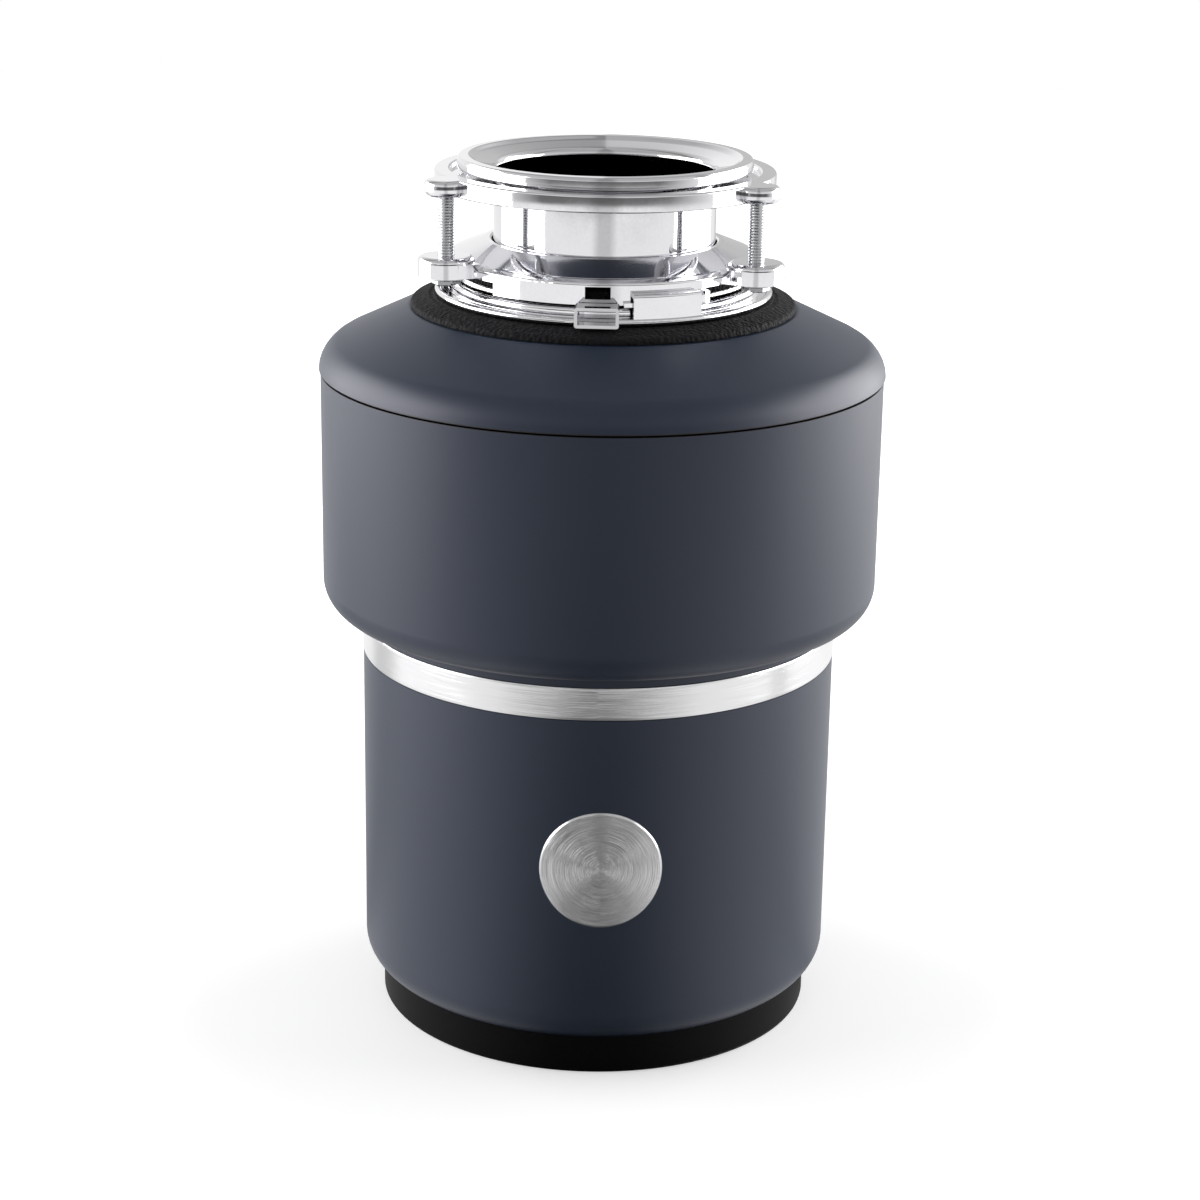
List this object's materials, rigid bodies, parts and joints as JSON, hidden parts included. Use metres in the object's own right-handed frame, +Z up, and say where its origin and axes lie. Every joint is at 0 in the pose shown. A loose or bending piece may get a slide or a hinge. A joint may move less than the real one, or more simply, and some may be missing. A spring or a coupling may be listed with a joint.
{
  "type": "garbage disposal",
  "caption": "Under-sink food waste disposer with a chrome twist-lock sink mount, stepped round painted housing, grinding turntable and motor.",
  "frame": {"origin": "centre of the base, on the plane that it stands on, on the axis of the motor and turntable", "axes": "+Z up along the motor axis, towards the sink flange; -Y is the front with the badge, +Y the back with the drain outlet"},
  "size_m": [0.2222, 0.2222, 0.3465],
  "materials": {
    "polished_steel": "polished stainless steel",
    "chrome": "bright chrome plating",
    "zinc_steel": "zinc plated steel",
    "stainless": "drawn stainless steel, satin",
    "brushed_trim": "brushed, fine lines round the can",
    "badge_metal": "brushed in circles, bare",
    "slate_paint": "matte slate blue-grey paint, slightly metallic",
    "black_rubber": "matte black rubber",
    "black_plastic": "black, satin",
    "grey_foam": "sound foam",
    "cast_aluminium": "die cast",
    "bronze": "sintered bronze",
    "core_steel": "laminated electrical steel",
    "copper_coil": "enamelled winding wire",
    "cast_steel": "cast stainless steel",
    "red_plastic": "red, glossy"
  },
  "bodies": {
    "housing": {"sink_flange": "polished_steel", "snap_ring": "zinc_steel", "mounting_ring": "chrome", "mounting_gasket": "black_rubber", "isolation_collar": "black_rubber", "upper_cover": "slate_paint", "mid_shell": "slate_paint", "trim_band": "brushed_trim", "lower_shell": "slate_paint", "badge": "badge_metal", "base_cover": "black_plastic", "terminal_cover": "zinc_steel", "hopper": "stainless", "hopper_screws": "zinc_steel", "chamber_liner": "grey_foam", "dishwasher_inlet": "black_plastic", "grind_ring": "cast_steel", "drain_housing": "cast_aluminium", "shaft_seal": "black_rubber", "upper_bearing": "bronze", "stator_core": "core_steel", "stator_windings": "copper_coil", "lower_end_frame": "cast_aluminium", "lower_bearing": "bronze", "through_bolts": "zinc_steel", "base_screws": "zinc_steel", "overload_switch": "black_plastic", "can_liner": "grey_foam"},
    "clamp": {"backup_flange": "chrome", "mounting_screws": "zinc_steel"},
    "lock_ring": {"lock_ring": "chrome"},
    "rotor": {"shredder_plate": "stainless", "lug_pins": "stainless", "plate_nut": "stainless", "rotor_shaft": "stainless", "rotor_core": "core_steel", "rotor_cage": "cast_aluminium"},
    "lug_1": {"swivel_lug_1": "cast_steel"},
    "lug_2": {"swivel_lug_2": "cast_steel"},
    "button": {"reset_button": "red_plastic"}
  },
  "joints": [
    {"name": "rotor_spin", "type": "hinge", "parent": "housing", "child": "rotor", "pos_m": [0, 0, 0.17], "axis": [0, 0, 1], "continuous": true},
    {"name": "lug_1_swivel", "type": "hinge", "parent": "rotor", "child": "lug_1", "pos_m": [0.053, 0, 0.224], "axis": [0, 0, 1], "continuous": true},
    {"name": "lug_2_swivel", "type": "hinge", "parent": "rotor", "child": "lug_2", "pos_m": [-0.053, 0, 0.224], "axis": [0, 0, 1], "continuous": true},
    {"name": "lock_ring_turn", "type": "hinge", "parent": "housing", "child": "lock_ring", "pos_m": [0, 0, 0.296], "axis": [0, 0, 1], "range_deg": [-38, 0]},
    {"name": "clamp_travel", "type": "slide", "parent": "housing", "child": "clamp", "axis": [0, 0, -1], "range_m": [0, 0.004]},
    {"name": "button_press", "type": "slide", "parent": "housing", "child": "button", "axis": [0, 0, 1], "range_m": [0, 0.003], "stiffness_N_per_m": 300, "springref_m": -0.001}
  ]
}
